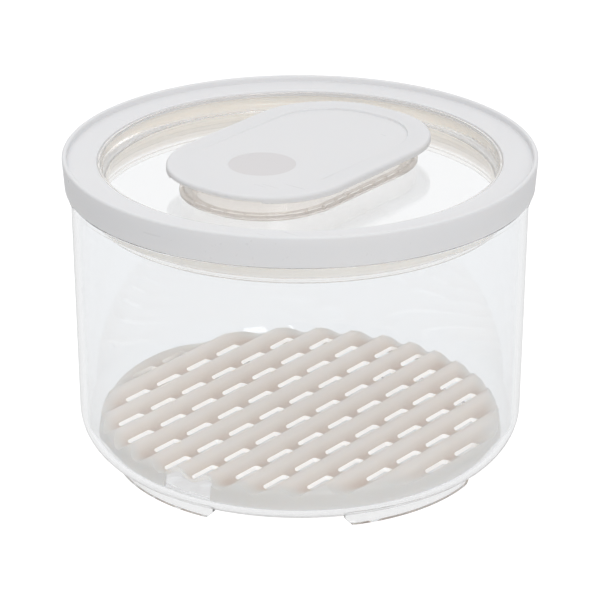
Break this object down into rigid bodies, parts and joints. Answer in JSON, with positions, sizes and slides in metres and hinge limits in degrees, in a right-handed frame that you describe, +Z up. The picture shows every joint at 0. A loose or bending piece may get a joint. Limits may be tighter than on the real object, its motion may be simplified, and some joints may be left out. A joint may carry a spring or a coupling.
{
  "type": "food storage container",
  "caption": "Round clear keeper for fresh food with a strainer tray, a white ringed lid with a sunk window, and a flip-up vent cover over the middle.",
  "frame": {"origin": "centre of the feet's resting plane, on the tub's axis", "axes": "+Z up along the tub's axis, +X along the vent cover towards its hinge"},
  "size_m": [0.2248, 0.2248, 0.1554],
  "materials": {
    "tub_clear": "clear, polished",
    "tray_milky": "milky, translucent",
    "lid_white": "fine satin",
    "window_clear": "clear, polished",
    "seal_silicone": "soft, translucent",
    "collar_clear": "clear, polished",
    "vent_seal_silicone": "soft, translucent",
    "cover_white": "fine satin",
    "pin_steel": "drawn wire"
  },
  "bodies": {
    "tub": {"tub": "tub_clear"},
    "tray": {"strainer_tray": "tray_milky"},
    "lid": {"lid_ring": "lid_white", "lid_window": "window_clear", "lid_seal": "seal_silicone", "vent_collar": "collar_clear", "vent_seal": "vent_seal_silicone", "hinge_pin": "pin_steel"},
    "cover": {"vent_cover": "cover_white"}
  },
  "joints": [
    {"name": "tray_lift", "type": "slide", "parent": "tub", "child": "tray", "axis": [0, 0, 1], "range_m": [0, 0.1]},
    {"name": "lid_lift", "type": "slide", "parent": "tub", "child": "lid", "axis": [0, 0, 1], "range_m": [0, 0.06]},
    {"name": "cover_flip", "type": "hinge", "parent": "lid", "child": "cover", "pos_m": [0.0686, 0, 0.1486], "axis": [0, 1, 0], "range_deg": [0, 105]}
  ]
}
